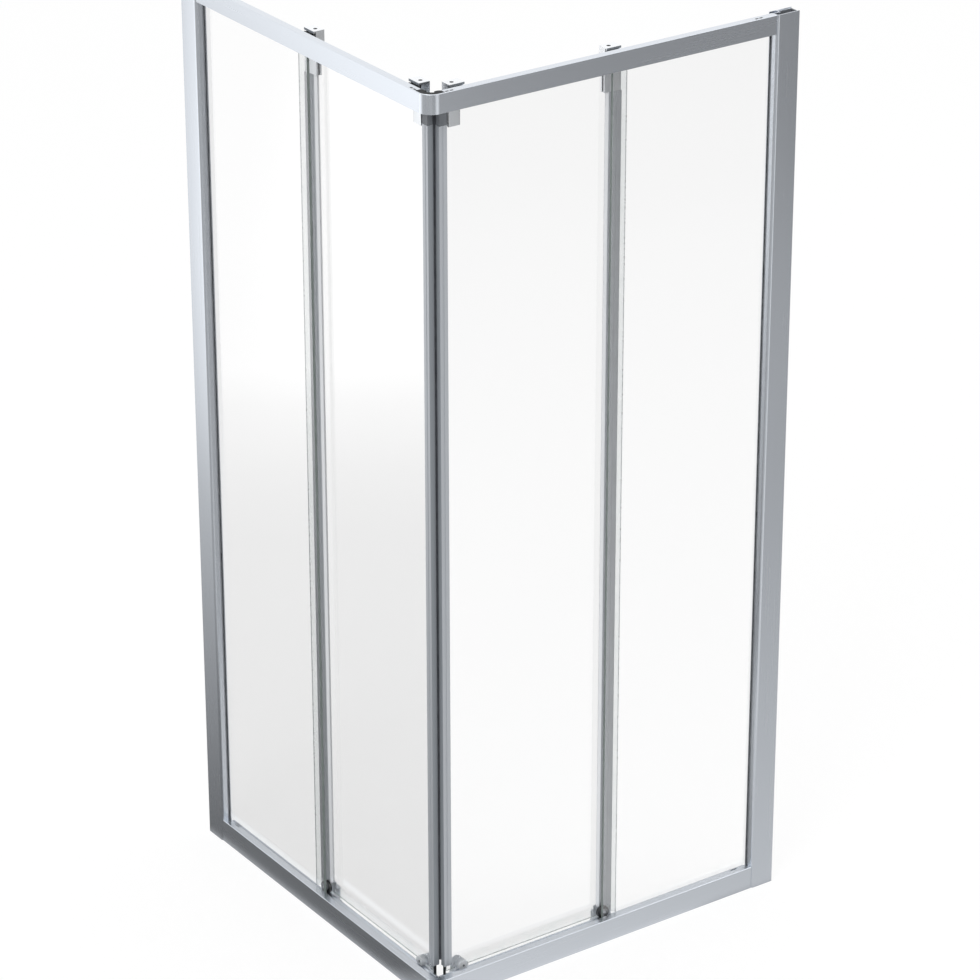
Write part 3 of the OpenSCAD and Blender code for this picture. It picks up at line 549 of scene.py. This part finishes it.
for side, run, deep in SIDES:
    low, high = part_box(side + "_adjusting_screws")
    screw_r = (high[deep] - low[deep]) / 2
    for end, along_run in (("lead", low[run] + screw_r), ("trail", high[run] - screw_r)):
        centre = [0, 0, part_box(side + "_carriages")[1][2] - cap_sunk]
        centre[deep] = low[deep] + screw_r
        centre[run] = along_run
        cap = turned(side + "_" + end + "_key_hole_cap", RUN_Z, centre, [
            (cap_bore, -cap_t), (cap_r, -cap_t), (cap_r, -cap_ease), (cap_r - cap_ease, 0),
            (cap_bore, 0)], black_nylon)
        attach(cap, side + "_door")


# Runners
# Moulded in grey translucent nylon, so that light comes a little way through them. They grip the
# panes' lower edges, hang behind the bottom rails and carry the lower wheels.
grey_nylon = moulded("translucent_grey_nylon", "dfe3e8", "d5dadf", 0.6, grain=1.5 * MM,
                     IOR=1.2, Transmission_Weight=0.6)
# The hood in front of the leading wheel is so thin that it is clearer.
hood_nylon = moulded("thin_clear_nylon", "f4f6f8", "eef1f3", 0.6, grain=1.5 * MM,
                     IOR=1.1, Transmission_Weight=0.6)
for side, _, deep in SIDES:
    door_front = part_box(side + "_closing_stile")[0][deep] - 0.1 * MM
    crisp(side + "_lead_runner", side + "_door", grey_nylon, hood_nylon,
          lambda face: face.center[deep] < door_front, edge=0.3 * MM)
    coat(side + "_trail_runner", grey_nylon)
    coat(side + "_wheel_axles", stainless)


# Wheels
# Black acetal tyres with a groove for the rail's ridge, moulded round an open ball bearing:
# two steel races with a ring of balls between them, turning on the axle.
BALLS = 9
black_acetal = moulded("moulded_black_acetal", "26282b", "1a1c1e", 0.32)
race_steel = steel("bearing_steel", "d2d3d5", "b4b6b8", 0.18)

ball_tree = bpy.data.node_groups.new("ring_of_balls", "GeometryNodeTree")
ball_tree.interface.new_socket("Geometry", in_out="OUTPUT", socket_type="NodeSocketGeometry")
ring_inputs = {name: ball_tree.interface.new_socket(name, in_out="INPUT", socket_type=kind)
               for name, kind in (
    ("Balls", "NodeSocketInt"), ("Ring radius", "NodeSocketFloat"), ("Ball radius", "NodeSocketFloat"),
    ("Place", "NodeSocketVector"), ("Turn", "NodeSocketVector"), ("Finish", "NodeSocketMaterial"))}
given = ball_tree.nodes.new("NodeGroupInput").outputs
ring = add(ball_tree, "GeometryNodeMeshCircle", Vertices=given["Balls"], Radius=given["Ring radius"])
ball = add(ball_tree, "GeometryNodeMeshIcoSphere", Radius=given["Ball radius"], Subdivisions=2)
dealt = add(ball_tree, "GeometryNodeInstanceOnPoints", Points=ring, Instance=ball)
stood = add(ball_tree, "GeometryNodeTransform", Geometry=dealt, Translation=given["Place"],
            Rotation=given["Turn"])
real = add(ball_tree, "GeometryNodeRealizeInstances", Geometry=stood)
shiny = add(ball_tree, "GeometryNodeSetMaterial", Geometry=real, Material=given["Finish"])
round_balls = add(ball_tree, "GeometryNodeSetShadeSmooth", Geometry=shiny)
add(ball_tree, "NodeGroupOutput", in_0=round_balls)


def ball_ring(name, axis, centre, ring_r, ball_r):
    """The balls of one bearing, made by the tree and kept as a plain mesh."""
    host = standing(name + "_host", bpy.data.meshes.new(name + "_host"))
    rule = host.modifiers.new("balls", "NODES")
    rule.node_group = ball_tree
    turn = (math.pi / 2, 0, 0) if axis == RUN_Y else (0, math.pi / 2, 0)
    for key, value in (("Balls", BALLS), ("Ring radius", ring_r), ("Ball radius", ball_r),
                       ("Place", centre), ("Turn", turn), ("Finish", race_steel)):
        rule[ring_inputs[key].identifier] = value
    bpy.context.view_layer.update()
    mesh = bpy.data.meshes.new_from_object(host.evaluated_get(bpy.context.evaluated_depsgraph_get()))
    mesh.name = name
    bpy.data.objects.remove(host)
    return standing(name, mesh)


def wheel(node, axis, made):
    """A tyre, two races and a ring of balls in place of one wheel node."""
    low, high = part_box(node)
    centre = [(a + b) / 2 for a, b in zip(low, high)]
    outer = (high[2] - low[2]) / 2
    half = (high[axis] - low[axis]) / 2
    bore, inner_t, outer_t = 2.58 * MM, 1.0 * MM, 0.8 * MM
    least_tyre, most_seat = 2.2 * MM, 6.8 * MM
    seat = min(outer - least_tyre, most_seat)
    race_in, race_out = bore + inner_t, seat - outer_t
    groove, ease, recess = 1.0 * MM, 0.4 * MM, 0.5 * MM
    floor_half, lip_half = 1.6 * MM, 2.6 * MM
    tyre = turned("tyre_" + node, axis, centre, [
        (seat, -half + recess), (seat + ease, -half), (outer - ease, -half), (outer, -half + ease),
        (outer, -lip_half), (outer - groove, -floor_half), (outer - groove, floor_half), (outer, lip_half),
        (outer, half - ease), (outer - ease, half), (seat + ease, half), (seat, half - recess)], made)
    outer_race, inner_race = (turned(name + node, axis, centre, [
        (inner_r, -half + recess), (outer_r, -half + recess), (outer_r, half - recess),
        (inner_r, half - recess)], race_steel)
        for name, inner_r, outer_r in (("outer_race_", race_out, seat), ("inner_race_", bore, race_in)))
    balls = ball_ring("balls_" + node, axis, centre, (race_in + race_out) / 2, (race_out - race_in) / 2)
    for piece in (tyre, outer_race, inner_race, balls):
        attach(piece, node)
    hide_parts(node)


for side, _, deep in SIDES:
    for spot in ("lead_wheel_a", "lead_wheel_b", "trail_wheel_a", "trail_wheel_b", "trail_runner_wheel"):
        wheel(side + "_" + spot, deep, black_acetal)
    wheel(side + "_lead_runner_wheel", deep, grey_nylon)
